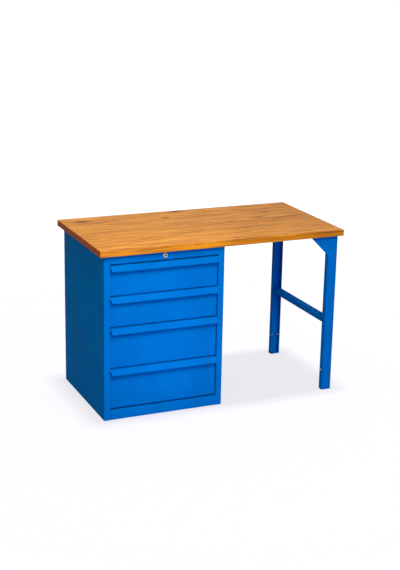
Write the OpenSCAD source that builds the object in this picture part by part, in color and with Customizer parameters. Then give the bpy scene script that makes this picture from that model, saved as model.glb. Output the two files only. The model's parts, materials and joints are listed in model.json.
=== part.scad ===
// Workbench: a four-drawer sheet-steel cabinet on the left, a leg frame on the right
// and a solid wooden worktop over both. X runs along the bench from left to right,
// Y from the front to the back and Z up. The origin is on the floor under the middle
// of the worktop.

/* [Worktop] */
// Length of the worktop
top_l = 1250; // [1040:10:1800]
// Depth of the worktop
top_w = 650; // [540:10:800]
// Thickness of the worktop
top_t = 30; // [24:1:50]
// Radius of the worktop's eased long edges
top_edge_r = 2; // [0.5:0.5:4]

/* [Cabinet] */
// Width of the cabinet
cab_w = 600; // [480:10:740]
// Overhang of the worktop past the cabinet's left side
cab_left_gap = 25; // [0:1:60]
// Overhang of the worktop in front of the cabinet
cab_front_gap = 25; // [23:1:60]
// Overhang of the worktop behind the cabinet
cab_back_gap = 30; // [0:1:60]
// Thickness of the cabinet's sheet steel
sheet = 1.5; // [1.2:0.1:2]
// Width of the stile at each side of the drawers
stile_w = 30; // [28:1:45]
// Depth of the stile's folded inner edge
stile_fold = 18; // [14:1:24]
// Width of the flanges folded in at the top and the back of each side
side_flange = 20; // [16:1:26]
// Height of the space taken by the plinth and the gap over it
plinth_h = 55; // [46:1:90]
// Height of the dark gap over the plinth
plinth_gap = 7; // [4:1:12]
// Height of the fascia under the worktop
fascia_h = 45; // [42:1:70]
// Depth of the fascia's top flange, which the worktop rests on
fascia_flange = 26; // [18:1:28]
// Width of each upright that carries the slides
upright_w = 40; // [30:1:60]

/* [Drawers] */
// Height of the space of each of the two upper drawers
upper_drawer_h = 150; // [135:5:250]
// Height of the space of each of the two lower drawers
lower_drawer_h = 200; // [135:5:300]
// Gap between one drawer front and what is over it
drawer_gap = 4; // [3:0.5:8]
// Gap between a drawer front and each stile
front_side_gap = 1.5; // [1:0.1:3]
// How far the drawer fronts lie behind the stiles
front_recess = 9; // [7:1:18]
// Depth of a drawer front's folded edges
front_fold = 12; // [8:1:12]
// Height of the grip that runs along the top of each front
grip_h = 28; // [26:1:50]
// How far the grip's lower edge stands out from the stiles
grip_out = 19; // [12:1:21]
// Corner radius at the ends of the grip
grip_corner_r = 18; // [4:1:20]
// Thickness of the tray's sheet steel
tray_sheet = 1; // [0.8:0.1:1.5]
// Height of the tray's bottom over the foot of its space
tray_lift = 8; // [5:1:15]
// Depth of the tray's rim below the top of its space
tray_drop = 30; // [24:1:60]
// Width of the rolled rim along the top of each tray wall
tray_rim = 8; // [4:1:9]
// Play between the back of a closed drawer and the cabinet's back
tray_back_gap = 8; // [4:1:30]

/* [Slides] */
// Width taken by a slide between upright and tray
slide_w = 13; // [12:0.5:16]
// Height of the slide's fixed member
slide_h = 45; // [38:1:60]
// Thickness of the slide's steel
slide_t = 1.2; // [1:0.1:1.5]
// Gap between sliding members
slide_play = 0.3; // [0.2:0.05:0.4]
// Height of the slide's middle over the foot of the drawer's space
slide_mid = 38; // [32:1:60]
// Length by which the members still overlap when a drawer is fully out
slide_hold = 50; // [40:5:200]

/* [Lock] */
// Radius of the lock's round collar on the fascia
lock_collar_r = 11.5; // [10:0.5:13]
// Radius of the lock's barrel
lock_barrel_r = 9; // [8:0.5:9.5]
// Radius of the turning plug
lock_plug_r = 6.4; // [5.5:0.1:6.5]
// Gap round the plug inside the barrel
lock_play = 0.05; // [0.02:0.01:0.1]
// Length of the barrel behind the collar
lock_l = 26; // [22:1:26]
// Distance of the cam's pin from the lock's axis
cam_throw = 10; // [8:0.5:11]
// Radius of the cam's pin
cam_pin_r = 2.5; // [2:0.1:3]
// Thickness of the cam and of the locking bar
bar_t = 2; // [1.5:0.1:2.5]
// Width of the upright part of the locking bar
bar_w = 12; // [8:0.5:13]

/* [Leg frame] */
// Width of the leg channel
leg_w = 50; // [40:1:80]
// Depth of the leg channel
leg_d = 30; // [26:1:60]
// Thickness of the leg channel
leg_t = 2; // [1.5:0.1:3]
// Overhang of the worktop past the legs on the right
leg_right_gap = 20; // [8:1:80]
// Overhang of the worktop in front of the front leg
leg_front_gap = 20; // [2:1:60]
// Overhang of the worktop behind the rear leg
leg_back_gap = 30; // [0:1:60]
// Length of the gusset's two straight edges
gusset_l = 100; // [60:5:160]
// Depth of the gusset's flange under the worktop
gusset_flange = 25; // [18:1:40]
// Width of the cross rail
rail_w = 38; // [24:1:38]
// Height of the cross rail
rail_h = 28; // [20:1:60]
// Height of the cross rail's top over the floor
rail_z = 374; // [200:2:600]
// Height of the rail under the worktop
top_rail_h = 30; // [20:1:50]

/* [Feet] */
// Thickness of the foot plate
foot_plate_t = 3; // [2:0.5:6]
// Height of the foot's channel inside the leg
foot_l = 140; // [135:5:200]
// How far a foot screws out of its leg
foot_travel = 20; // [5:1:22]
// Gap between the foot and the leg channel
foot_play = 0.2; // [0.1:0.05:0.3]
// Height of the foot's bolts over the floor
foot_bolt_z = 105; // [60:1:105]

/* [Fasteners] */
// Shank radius of the wood screws that hold the worktop
wood_screw_r = 2.5; // [2:0.1:3]
// Length of the wood screws inside the worktop
wood_screw_l = 20; // [12:1:22]
// Head radius of the wood screws
wood_screw_head_r = 5; // [4:0.5:5.5]
// Shank radius of the foot bolts
bolt_r = 4; // [3:0.5:5]
// Width of the foot bolts' heads and nuts across the flats
bolt_flats = 13; // [10:1:17]
// Height of the foot bolts' heads
bolt_head_h = 5.3; // [4:0.1:6.5]
// Shank radius of the rivets in the back panel
rivet_r = 1.6; // [1.2:0.1:2]
// Shank radius of the small machine screws
small_screw_r = 2; // [1.5:0.1:2.5]

/* [Hidden] */
DRAWERS = [1, 2, 3, 4];

blue = "#0672d0";
zinc = "#b9bec4";
nickel = "#c9c3b4";
wood = "#d9924a";

drawer_h = [upper_drawer_h, upper_drawer_h, lower_drawer_h, lower_drawer_h];
function heights_to(n) = n == 0 ? 0 : drawer_h[n - 1] + heights_to(n - 1);
cab_h = plinth_h + heights_to(len(drawer_h)) + fascia_h;
function foot_of(n) = cab_h - fascia_h - heights_to(n);  // bottom of drawer n's space
function head_of(n) = foot_of(n) + drawer_h[n - 1] - drawer_gap;  // top of its front

cab_x = -top_l / 2 + cab_left_gap;
cab_y = -top_w / 2 + cab_front_gap;
cab_d = top_w - cab_front_gap - cab_back_gap;
plinth_top = plinth_h - plinth_gap;
floor_top = plinth_top - sheet;
plinth_flange = 35;  // depth of the plinth's top flange, under which the floor ends
fascia_fold = 15;  // depth of the fascia's lower edge
rail_fold = 35;  // depth of the rear rail's two flanges
rear_rail_h = 40;
rivet_end = 60;  // from the top and the foot of the back to its last rivets
inner_d = cab_d - 2 * sheet;  // from the stiles' face to the sides' back flanges

upright_x = stile_w + 1;  // face that carries the slides
front_upright_y = 36;  // clear of the stile's fold and the locking bar
rear_upright_y = inner_d - upright_w - 50;
slide_y = front_upright_y + 2;
tray_x = upright_x + slide_w;
tray_y = front_recess + front_fold;
tray_l = inner_d - tray_back_gap - tray_y;
slide_l = tray_y + tray_l - slide_y;
travel = slide_l - slide_hold;
front_screw_x = stile_w + 6 + slide_w;  // the front's screws stand just inside the tray's wall

function tray_foot(n) = foot_of(n) + tray_lift;
function tray_head(n) = foot_of(n) + drawer_h[n - 1] - tray_drop;
function slide_z(n) = foot_of(n) + slide_mid;
function catch_z(n) = tray_head(n) - 16;

lock_x = cab_w / 2;
lock_z = cab_h - fascia_h / 2;
lock_face = -2;  // front of the collar
cam_y = lock_l + 1;
cam_dir = cam_throw * sin(45);
bar_y = cam_y + bar_t + 2;
bar_travel = 2 * cam_dir;
bar_edge = 3;  // gap between the locking bar and the cabinet's side
bar_low = 15;  // length of the bar below its lowest tab's middle
arm_z0 = lock_z - cam_throw - cam_pin_r - 5;
arm_z1 = lock_z + 8;
tab_h = 10;  // half the height of a tab
tab_reach = tray_x - 1 - bar_travel;
guide_x = tab_reach - 6.3;
guide_r = 2.5;
guide_play = 0.3;
catch_y = bar_y + bar_t + 2;
catch_w = 10;
catch_l = 14;

leg_x = top_l / 2 - leg_right_gap - leg_w;
leg_y0 = -top_w / 2 + leg_front_gap;
leg_y1 = top_w / 2 - leg_back_gap;
foot_bolt_in = leg_d / 2;
screw_head_h = 3;
hex_r = bolt_flats / sqrt(3);  // flats to corners

// ---- shared shapes ----

// Box between two corners
module span(low, high) {
    translate(low) cube(high - low);
}

// Moves a shape drawn from the cabinet's front left foot to its place
module at_cabinet() {
    translate([cab_x, cab_y, 0]) children();
}

// A shape at the left of the cabinet and its mirror image at the right
module both_sides() {
    children();
    right_side() children();
}

module right_side() {
    translate([cab_w, 0, 0]) mirror([1, 0, 0]) children();
}

// Rod along X, Y or Z from a point
module rod_x(at, r, l) {
    translate(at) rotate([0, 90, 0]) cylinder(r = r, h = l, $fn = 32);
}

module rod_y(at, r, l) {
    translate(at) rotate([-90, 0, 0]) cylinder(r = r, h = l, $fn = 32);
}

module rod_z(at, r, l) {
    translate(at) cylinder(r = r, h = l, $fn = 32);
}

// Flat outline drawn in Y and Z, carried along X
module along_x(x0, x1) {
    translate([x0, 0, 0]) rotate([90, 0, 90]) linear_extrude(x1 - x0) children();
}

// Flat outline drawn in X and Z, carried along Y
module along_y(y0, y1) {
    translate([0, y1, 0]) rotate([90, 0, 0]) linear_extrude(y1 - y0) children();
}

// Places of the worktop's screws over the cabinet, in cabinet coordinates
function cabinet_screw_spots() = [
    for (x = [side_flange / 2 + 2, cab_w - side_flange / 2 - 2], y = [0.25, 0.75])
        [x, y * cab_d]
];

// Places of the worktop's screws over the leg frame
function leg_screw_spots() = [
    [leg_x + leg_w / 2, leg_y0 + 3 * leg_d],
    [leg_x + leg_w / 2, leg_y1 - 3 * leg_d],
    [leg_x - gusset_l / 2, leg_y0 + gusset_flange / 2 + leg_t],
    [leg_x - gusset_l / 2, leg_y1 - gusset_flange / 2 - leg_t]
];

// Pan-head wood screw pointing up from a sheet whose underside is at z
module wood_screw(at, z, grip) {
    rod_z([at[0], at[1], z - screw_head_h], wood_screw_head_r, screw_head_h);
    rod_z([at[0], at[1], z - 0.01], wood_screw_r, grip + wood_screw_l + 0.01);
}

// ---- worktop ----

module worktop() {
    r = top_edge_r;
    color(wood) difference() {
        along_x(-top_l / 2, top_l / 2) worktop_outline(r);
        for (p = cabinet_screw_spots())
            rod_z([cab_x + p[0], cab_y + p[1], cab_h - 1], wood_screw_r, wood_screw_l + 1);
        for (p = leg_screw_spots())
            rod_z([p[0], p[1], cab_h - 1], wood_screw_r, wood_screw_l + 1);
    }
}

// Cross section with four eased edges
module worktop_outline(r) {
    half = top_w / 2;
    steps = [0, 30, 60, 90];
    polygon(concat(
        [for (a = steps) [half - r + r * sin(a), cab_h + r - r * cos(a)]],
        [for (a = steps) [half - r + r * cos(a), cab_h + top_t - r + r * sin(a)]],
        [for (a = steps) [-half + r - r * sin(a), cab_h + top_t - r + r * cos(a)]],
        [for (a = steps) [-half + r - r * cos(a), cab_h + r - r * sin(a)]]
    ));
}

module cabinet_screws() {
    color(zinc) at_cabinet() for (p = cabinet_screw_spots())
        wood_screw(p, cab_h - sheet, sheet);
}

// ---- cabinet shell ----

// One folded sheet: side wall, stile, stile fold, back flange and top flange
module side_panel() {
    difference() {
        union() {
            linear_extrude(cab_h) polygon([
                [0, 0], [stile_w, 0], [stile_w, stile_fold], [stile_w - sheet, stile_fold],
                [stile_w - sheet, sheet], [sheet, sheet], [sheet, inner_d],
                [side_flange, inner_d], [side_flange, inner_d + sheet],
                [0, inner_d + sheet]
            ]);
            span([sheet / 2, front_upright_y, cab_h - sheet],
                 [side_flange, inner_d - rail_fold - 5, cab_h]);
        }
        for (p = cabinet_screw_spots())
            rod_z([p[0], p[1], cab_h - 2 * sheet], wood_screw_r + 0.3, 3 * sheet);
        side_rivet_holes();
    }
}

module side_rivet_holes() {
    for (z = rivet_heights())
        rod_y([side_flange / 2 + 1, inner_d - 1, z], rivet_r, sheet * 2 + 2);
}

function rivet_heights() = [for (i = [0 : 4]) rivet_end + i * (cab_h - 2 * rivet_end) / 4];

module left_side_panel() {
    color(blue) at_cabinet() side_panel();
}

module right_side_panel() {
    color(blue) at_cabinet() right_side() side_panel();
}

module back_panel() {
    color(blue) at_cabinet() difference() {
        span([0, cab_d - sheet, 0], [cab_w, cab_d, cab_h]);
        both_sides() side_rivet_holes();
    }
}

// Dome-headed rivets through the back panel and the sides' back flanges
module back_rivets() {
    color(zinc) at_cabinet() both_sides() for (z = rivet_heights()) {
        x = side_flange / 2 + 1;
        rod_y([x, inner_d - 1, z], rivet_r, sheet * 2 + 1);
        rod_y([x, cab_d, z], rivet_r * 2, 1);
        rod_y([x, inner_d - 1, z], rivet_r * 1.7, 1);
    }
}

// Flat floor with its sides folded down
module cabinet_floor() {
    y0 = stile_fold + 1;
    color(blue) at_cabinet() difference() {
        span([sheet, y0, 0.5], [cab_w - sheet, inner_d, floor_top]);
        span([2 * sheet, y0 - 1, 0], [cab_w - 2 * sheet, inner_d + 1, floor_top - sheet]);
    }
}

// Front plate between the stiles, folded back at its top and its foot
module plinth() {
    color(blue) at_cabinet() along_x(stile_w, cab_w - stile_w) polygon([
        [0, 0], [stile_fold, 0], [stile_fold, sheet], [sheet, sheet],
        [sheet, floor_top], [plinth_flange, floor_top], [plinth_flange, plinth_top],
        [0, plinth_top]
    ]);
}

// Plate over the drawers with the lock's hole, folded back at its top and its foot
module fascia() {
    z0 = cab_h - fascia_h + 2;
    face = 0.5;
    color(blue) at_cabinet() difference() {
        along_x(stile_w + 0.4, cab_w - stile_w - 0.4) polygon([
            [face, z0], [fascia_fold, z0], [fascia_fold, z0 + sheet], [face + sheet, z0 + sheet],
            [face + sheet, cab_h - sheet], [fascia_flange, cab_h - sheet],
            [fascia_flange, cab_h], [face, cab_h]
        ]);
        rod_y([lock_x, -1, lock_z], lock_barrel_r + 0.2, 5);
    }
}

// Channel that ties the sides together at the top of the back
module rear_rail() {
    y0 = inner_d - rail_fold;
    z0 = cab_h - rear_rail_h;
    color(blue) at_cabinet() along_x(sheet, cab_w - sheet) polygon([
        [y0, z0], [inner_d, z0], [inner_d, cab_h], [y0, cab_h], [y0, cab_h - sheet],
        [inner_d - sheet, cab_h - sheet], [inner_d - sheet, z0 + sheet], [y0, z0 + sheet]
    ]);
}

// Channel that stands against the side wall and carries the slides
module upright(y) {
    translate([0, y, floor_top]) linear_extrude(cab_h - sheet - floor_top) polygon([
        [sheet, 0], [upright_x, 0], [upright_x, upright_w], [sheet, upright_w],
        [sheet, upright_w - sheet], [upright_x - sheet, upright_w - sheet],
        [upright_x - sheet, sheet], [sheet, sheet]
    ]);
}

module front_uprights() {
    color(zinc) at_cabinet() difference() {
        both_sides() upright(front_upright_y);
        slide_screw_rods(0.2);
        bar_guide_rods(0.1);
    }
}

module rear_uprights() {
    color(zinc) at_cabinet() difference() {
        both_sides() upright(rear_upright_y);
        slide_screw_rods(0.2);
    }
}

// ---- slides ----

// Cross section of the fixed member, from the upright's face towards the tray
module fixed_section() {
    h = slide_h / 2;
    lip = slide_h * 0.1;
    w = slide_w - 3;
    difference() {
        translate([0, -h]) square([w, slide_h]);
        translate([slide_t, -h + slide_t]) square([w - 2 * slide_t, slide_h - 2 * slide_t]);
        translate([w / 2, -h + lip]) square([w, slide_h - 2 * lip]);
    }
}

// Cross section of the middle member, which runs inside the fixed one
module mid_section() {
    x0 = slide_t + slide_play;
    w = slide_w - 3 - 2 * x0;
    h = slide_h / 2 - slide_t - slide_play;
    lip = slide_h * 0.1;
    difference() {
        translate([x0, -h]) square([w, 2 * h]);
        translate([x0 + slide_t, -h + slide_t]) square([w - 2 * slide_t, 2 * (h - slide_t)]);
        translate([x0 + w / 2, -h + lip]) square([w, 2 * (h - lip)]);
    }
}

// Cross section of the tray's member, which runs inside the middle one
module inner_section() {
    x0 = 2 * (slide_t + slide_play);
    h = slide_h / 2 - x0;
    neck = slide_h * 0.3;
    translate([x0, -h]) square([slide_t, 2 * h]);
    for (s = [-1, 1])
        translate([x0, s * neck - slide_t / 2]) square([slide_w - x0, slide_t]);
    translate([slide_w - slide_t, -neck]) square([slide_t, 2 * neck]);
}

// A slide member on both sides of drawer n
module slide_pair(n) {
    both_sides() translate([upright_x, 0, slide_z(n)])
        along_y(slide_y, slide_y + slide_l) children();
}

module fixed_slides() {
    color(zinc) at_cabinet() difference() {
        for (n = DRAWERS) slide_pair(n) fixed_section();
        slide_screw_rods(0.2);
    }
}

// Holes or shanks through the fixed members and the uprights
module slide_screw_rods(extra) {
    for (n = DRAWERS, y = [front_upright_y, rear_upright_y])
        both_sides() rod_x([upright_x - 4, y + upright_w / 2, slide_z(n)],
                           small_screw_r + extra, 4 + slide_t);
}

module slide_screws() {
    color(zinc) at_cabinet() {
        slide_screw_rods(0);
        for (n = DRAWERS, y = [front_upright_y, rear_upright_y])
            both_sides() rod_x([upright_x - sheet - 2, y + upright_w / 2, slide_z(n)],
                               small_screw_r * 1.9, 2);
    }
}

module drawer_mid_slide(n) {
    color(zinc) at_cabinet() slide_pair(n) mid_section();
}

module drawer_slide(n) {
    color(zinc) at_cabinet() slide_pair(n) inner_section();
}

// ---- drawers ----

// Folded tray, open at the top, with a rim turned in along each wall
module drawer_tray(n) {
    low = [tray_x, tray_y, tray_foot(n)];
    high = [cab_w - tray_x, tray_y + tray_l, tray_head(n)];
    t = [tray_sheet, tray_sheet, tray_sheet];
    rim = [tray_rim, tray_rim, 0];
    color(blue) at_cabinet() difference() {
        span(low, high);
        span(low + t, high - t);
        span([low[0], low[1], high[2] - 2 * tray_sheet] + rim,
             [high[0], high[1], high[2] + 1] - rim);
        front_screw_rods(n, 0.2);
    }
}

// Sheet front, folded back all round and turned in again to meet the tray
module drawer_front(n) {
    x0 = stile_w + front_side_gap;
    low = [x0, front_recess, foot_of(n)];
    high = [cab_w - x0, tray_y, head_of(n) - sheet];
    t = [sheet, sheet, sheet];
    lip = [10, 0, 10];
    color(blue) at_cabinet() difference() {
        span(low, high);
        span(low + t, high - t);
        span([low[0], high[1] - 2 * sheet, low[2]] + lip,
             [high[0], high[1] + 1, high[2]] - lip);
        front_screw_rods(n, 0.2);
    }
}

// Full-width grip: a flange over the front's top edge, a face that leans out as it
// goes down, and a curled lower edge; its two lower corners are rounded
module drawer_grip(n) {
    x0 = stile_w + 0.8;
    z1 = head_of(n);
    color(blue) at_cabinet() intersection() {
        along_x(x0, cab_w - x0) translate([0, z1]) grip_outline();
        along_y(-grip_out - 5, tray_y) grip_face(x0, z1);
    }
}

// Section of the grip in Y and Z, hung from its top edge
module grip_outline() {
    r = 4;  // outer radius of the curl
    lean = atan2(grip_out, grip_h - r);
    arc = [for (a = [180 - lean : 18 : 342]) a];
    y = -grip_out + r;
    z = -grip_h + r;
    polygon(concat(
        [[tray_y - 2, 0], [0, 0]],
        [for (a = arc) [y + r * cos(a), z + r * sin(a)]],
        [for (i = [len(arc) - 1 : -1 : 0])
            [y + (r - sheet) * cos(arc[i]), z + (r - sheet) * sin(arc[i])]],
        [[sheet * 0.6, -sheet], [tray_y - 2, -sheet]]
    ));
}

// Front view of the grip with its rounded lower corners
module grip_face(x0, z1) {
    r = grip_corner_r;
    x1 = cab_w - x0;
    z0 = z1 - grip_h;
    steps = [for (a = [0 : 15 : 90]) a];
    polygon(concat(
        [[x1, z1 + 1], [x0, z1 + 1]],
        [for (a = steps) [x0 + r - r * cos(a), z0 + r - r * sin(a)]],
        [for (a = steps) [x1 - r + r * sin(a), z0 + r - r * cos(a)]]
    ));
}

// Angle on the tray's right wall that the locking bar holds
module drawer_catch(n) {
    z = catch_z(n);
    color(zinc) at_cabinet() right_side() {
        difference() {
            span([tray_x - catch_w, catch_y, z - 6], [tray_x, catch_y + catch_l, z + 6]);
            span([tray_x - catch_w - 1, catch_y + sheet, z - 7],
                 [tray_x - sheet, catch_y + catch_l + 1, z + 7]);
        }
    }
}

// Where the front's screws go through the tray's front wall
function front_screw_spots(n) = [
    for (x = [front_screw_x, cab_w - front_screw_x], z = [tray_foot(n) + 10, tray_head(n) - 12])
        [x, z]
];

module front_screw_rods(n, extra) {
    for (p = front_screw_spots(n))
        rod_y([p[0], tray_y - 4, p[1]], small_screw_r + extra, 4 + tray_sheet);
}

module drawer_screws(n) {
    color(zinc) at_cabinet() {
        front_screw_rods(n, 0);
        for (p = front_screw_spots(n))
            rod_y([p[0], tray_y + tray_sheet, p[1]], small_screw_r * 1.9, 2);
    }
}

// ---- lock ----

module lock_housing() {
    color(nickel) at_cabinet() difference() {
        union() {
            rod_y([lock_x, lock_face, lock_z], lock_collar_r, 0.5 - lock_face);
            rod_y([lock_x, 0, lock_z], lock_barrel_r, lock_l);
        }
        rod_y([lock_x, lock_face - 1, lock_z], lock_plug_r + lock_play, lock_l + 5);
    }
}

// Round nut behind the fascia
module lock_nut() {
    y0 = 0.5 + sheet;
    color(zinc) at_cabinet() difference() {
        translate([lock_x, y0, lock_z]) rotate([-90, 0, 0])
            cylinder(r = lock_barrel_r + 4, h = 4, $fn = 6);
        rod_y([lock_x, y0 - 1, lock_z], lock_barrel_r, 6);
    }
}

module lock_plug() {
    color(nickel) at_cabinet() difference() {
        rod_y([lock_x, lock_face - 0.4, lock_z], lock_plug_r, cam_y - lock_face + 0.4);
        span([lock_x - 0.8, lock_face - 1, lock_z - 4.2],
             [lock_x + 0.8, lock_face + 4, lock_z + 4.2]);
        rod_y([lock_x, cam_y - 12, lock_z], small_screw_r, 13);
    }
}

// Cam plate with the pin that pushes the locking bar, drawn unlocked
module lock_cam() {
    color(zinc) at_cabinet() translate([lock_x, cam_y, lock_z]) {
        difference() {
            rotate([-90, 0, 0]) linear_extrude(bar_t) cam_outline();
            rod_y([0, -1, 0], small_screw_r + 0.1, bar_t + 2);
        }
        rod_y([cam_dir, bar_t / 2, -cam_dir], cam_pin_r, bar_t * 1.5 + 3);
    }
}

module cam_outline() {
    wide = cam_pin_r + 2;
    neck = wide - 0.5;
    circle(r = 7, $fn = 48);
    rotate(45) translate([0, -neck]) square([cam_throw, 2 * neck]);
    translate([cam_dir, cam_dir]) circle(r = wide, $fn = 48);
}

module cam_screw() {
    color(zinc) at_cabinet() {
        rod_y([lock_x, cam_y - 11, lock_z], small_screw_r, 11 + bar_t);
        rod_y([lock_x, cam_y + bar_t, lock_z], small_screw_r * 1.9, 1.6);
    }
}

// One flat plate: an arm from the cam to the right side, and a bar down that side
// with a tab in front of each drawer's catch
module locking_bar() {
    low = catch_z(4) - bar_low;
    color(zinc) at_cabinet() difference() {
        right_side() along_y(bar_y, bar_y + bar_t) {
            translate([bar_edge, low]) square([bar_w, arm_z1 - low]);
            translate([bar_edge, arm_z0])
                square([cab_w - lock_x + 18 - bar_edge, arm_z1 - arm_z0]);
            for (n = DRAWERS)
                translate([bar_edge, catch_z(n) - tab_h])
                    square([tab_reach - bar_edge, 2 * tab_h]);
        }
        cam_slot();
        for (n = [1, 4]) guide_slot(catch_z(n));
    }
}

// Upright slot that the cam's pin slides in
module cam_slot() {
    wide = cam_pin_r + 0.4;
    span([lock_x + cam_dir - wide, bar_y - 1, lock_z - cam_throw - cam_pin_r - 1],
         [lock_x + cam_dir + wide, bar_y + bar_t + 1, lock_z - cam_dir + cam_pin_r + 1]);
}

module guide_slot(z) {
    wide = guide_r + guide_play;
    right_side() span([guide_x - bar_travel - wide, bar_y - 1, z - wide],
                      [guide_x + wide, bar_y + bar_t + 1, z + wide]);
}

module bar_guide_rods(extra) {
    for (n = [1, 4])
        right_side() rod_y([guide_x, bar_y - guide_play, catch_z(n)], guide_r + extra,
                           front_upright_y + sheet - bar_y + guide_play);
}

// Shoulder studs on the front upright that the locking bar slides on
module bar_guides() {
    color(zinc) at_cabinet() {
        bar_guide_rods(0);
        for (n = [1, 4]) {
            right_side() rod_y([guide_x, bar_y - guide_play - 1.5, catch_z(n)],
                               guide_r * 1.6, 1.5);
            right_side() rod_y([guide_x, bar_y + bar_t + guide_play, catch_z(n)],
                               guide_r * 1.4, front_upright_y - bar_y - bar_t - guide_play);
        }
    }
}

// ---- leg frame ----

// Channel section with its web at y = 0
module leg_section() {
    difference() {
        square([leg_w, leg_d]);
        translate([leg_t, leg_t]) square([leg_w - 2 * leg_t, leg_d]);
    }
}

// Shape drawn for the front leg, placed there or turned to face it at the back
module at_front_leg() {
    translate([leg_x, leg_y0, 0]) children();
}

module at_rear_leg() {
    translate([leg_x, leg_y1, 0]) mirror([0, 1, 0]) children();
}

module leg() {
    difference() {
        translate([0, 0, foot_plate_t]) linear_extrude(cab_h - foot_plate_t) leg_section();
        rod_x([-1, foot_bolt_in, foot_bolt_z], bolt_r + 0.3, leg_w + 2);
    }
}

module front_leg() {
    color(blue) at_front_leg() leg();
}

module rear_leg() {
    color(blue) at_rear_leg() leg();
}

// Channel under the worktop, open downwards, inside the tops of both legs
module leg_top_rail() {
    x0 = leg_x + leg_t;
    x1 = leg_x + leg_w - leg_t;
    y0 = leg_y0 + leg_t;
    y1 = leg_y1 - leg_t;
    color(blue) difference() {
        span([x0, y0, cab_h - top_rail_h], [x1, y1, cab_h]);
        span([x0 + leg_t, y0 - 1, cab_h - top_rail_h - 1],
             [x1 - leg_t, y1 + 1, cab_h - leg_t]);
        for (p = leg_screw_spots())
            rod_z([p[0], p[1], cab_h - 2 * leg_t], wood_screw_r + 0.3, 3 * leg_t);
    }
}

// Square tube between the legs
module cross_rail() {
    x0 = leg_x + (leg_w - rail_w) / 2;
    y0 = leg_y0 + leg_t;
    y1 = leg_y1 - leg_t;
    color(blue) difference() {
        span([x0, y0, rail_z - rail_h], [x0 + rail_w, y1, rail_z]);
        span([x0 + leg_t, y0 - 1, rail_z - rail_h + leg_t],
             [x0 + rail_w - leg_t, y1 + 1, rail_z - leg_t]);
    }
}

// Three-cornered plate beside the leg, with a flange under the worktop
module gusset() {
    difference() {
        union() {
            translate([0, leg_t, cab_h]) rotate([90, 0, 0]) linear_extrude(leg_t)
                polygon([[0, 0], [-gusset_l, 0], [0, -gusset_l]]);
            span([-gusset_l, 0, cab_h - leg_t], [0, gusset_flange, cab_h]);
        }
        rod_z([-gusset_l / 2, gusset_flange / 2 + leg_t, cab_h - 2 * leg_t],
              wood_screw_r + 0.3, 3 * leg_t);
    }
}

module front_gusset() {
    color(blue) at_front_leg() gusset();
}

module rear_gusset() {
    color(blue) at_rear_leg() gusset();
}

module leg_screws() {
    color(zinc) for (p = leg_screw_spots())
        wood_screw(p, cab_h - leg_t, leg_t);
}

// ---- feet ----

// Channel that slides in the leg, welded to a foot plate
module foot() {
    gap = leg_t + foot_play;
    slot = bolt_r + 0.3;
    difference() {
        union() {
            span([0, 0, 0], [leg_w, leg_d, foot_plate_t]);
            difference() {
                span([gap, gap, foot_plate_t / 2], [leg_w - gap, leg_d, foot_l]);
                span([gap + leg_t, gap + leg_t, foot_plate_t],
                     [leg_w - gap - leg_t, leg_d + 1, foot_l + 1]);
            }
        }
        span([gap - 1, foot_bolt_in - slot, foot_bolt_z],
             [leg_w - gap + 1, foot_bolt_in + slot, foot_bolt_z + foot_travel]);
        for (z = [0, foot_travel])
            rod_x([gap - 1, foot_bolt_in, foot_bolt_z + z], slot, leg_w - 2 * gap + 2);
    }
}

module front_foot() {
    color(blue) at_front_leg() foot();
}

module rear_foot() {
    color(blue) at_rear_leg() foot();
}

// Hexagon along X from a point
module hex_x(at, l) {
    translate(at) rotate([0, 90, 0]) cylinder(r = hex_r, h = l, $fn = 6);
}

// Left and right of each leg
module at_bolts() {
    at_front_leg() bolt_pair() children();
    at_rear_leg() bolt_pair() children();
}

module bolt_pair() {
    translate([0, foot_bolt_in, foot_bolt_z]) children();
    translate([leg_w, foot_bolt_in, foot_bolt_z]) mirror([1, 0, 0]) children();
}

module foot_bolts() {
    color(zinc) at_bolts() {
        hex_x([-bolt_head_h, 0, 0], bolt_head_h);
        rod_x([-0.01, 0, 0], bolt_r, 14);
    }
}

module foot_nuts() {
    inside = 2 * leg_t + foot_play + 0.1;
    color(zinc) at_bolts() difference() {
        hex_x([inside, 0, 0], bolt_head_h);
        rod_x([inside - 1, 0, 0], bolt_r, bolt_head_h + 2);
    }
}

worktop();
left_side_panel();
right_side_panel();
back_panel();
cabinet_floor();
plinth();
fascia();
rear_rail();
front_uprights();
rear_uprights();
fixed_slides();
slide_screws();
lock_housing();
lock_nut();
bar_guides();
back_rivets();
cabinet_screws();
lock_plug();
lock_cam();
cam_screw();
locking_bar();
front_leg();
rear_leg();
leg_top_rail();
cross_rail();
front_gusset();
rear_gusset();
leg_screws();
foot_bolts();
foot_nuts();
front_foot();
rear_foot();
for (n = DRAWERS) {
    drawer_tray(n);
    drawer_front(n);
    drawer_grip(n);
    drawer_catch(n);
    drawer_screws(n);
    drawer_slide(n);
    drawer_mid_slide(n);
}
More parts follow.
